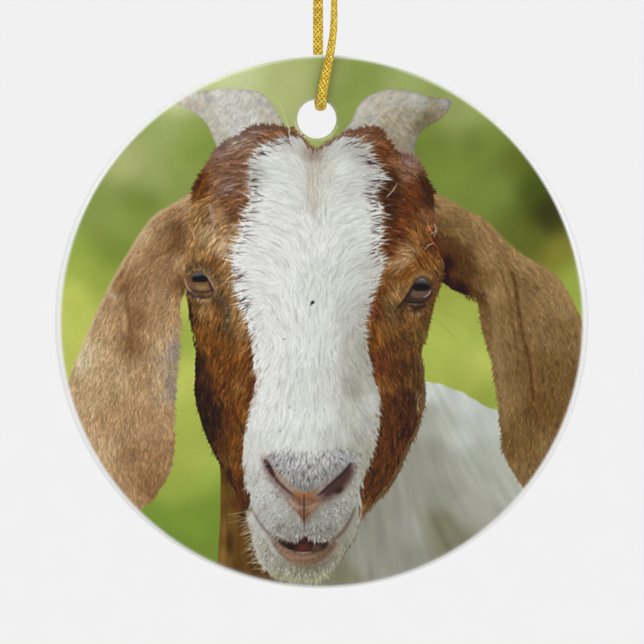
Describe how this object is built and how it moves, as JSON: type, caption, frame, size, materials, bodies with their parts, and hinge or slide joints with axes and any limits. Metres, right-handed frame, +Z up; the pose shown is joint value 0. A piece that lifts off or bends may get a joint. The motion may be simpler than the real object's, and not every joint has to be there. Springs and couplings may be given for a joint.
{
  "type": "round ceramic ornament",
  "caption": "Flat round glazed ceramic hanging ornament with a printed goat portrait on its front, on a loop of gold braided cord tied in a knot.",
  "frame": {"origin": "the point inside the top of the cord loop, just under the knot, where a hook or twig holds it", "axes": "+Z up along the hanging line, the printed front faces -Y, +X to the viewer's right when facing the front"},
  "size_m": [0.073, 0.0064, 0.15],
  "materials": {
    "glazed_body": "white gloss glaze",
    "printed_coat": "gloss coat with a full-colour goat portrait printed in it",
    "gold_cord": "braided metallic yarn"
  },
  "bodies": {
    "knot": {"cord_knot": "gold_cord", "cord_tails": "gold_cord"},
    "loop": {"cord_rear": "gold_cord", "cord_front": "gold_cord"},
    "sling": {"cord_bight": "gold_cord"},
    "disc": {"ceramic_disc": "glazed_body", "printed_coat": "printed_coat"}
  },
  "joints": [
    {"name": "loop_swing", "type": "hinge", "parent": "knot", "child": "loop", "pos_m": [0, 0, 0.0036], "axis": [1, 0, 0], "range_deg": [-40, 40]},
    {"name": "cord_twist", "type": "hinge", "parent": "loop", "child": "sling", "pos_m": [0, 0, -0.054], "axis": [0, 0, 1], "range_deg": [-180, 180]},
    {"name": "disc_swing", "type": "hinge", "parent": "sling", "child": "disc", "pos_m": [0, 0, -0.07], "axis": [0, 1, 0], "range_deg": [-60, 60]}
  ]
}
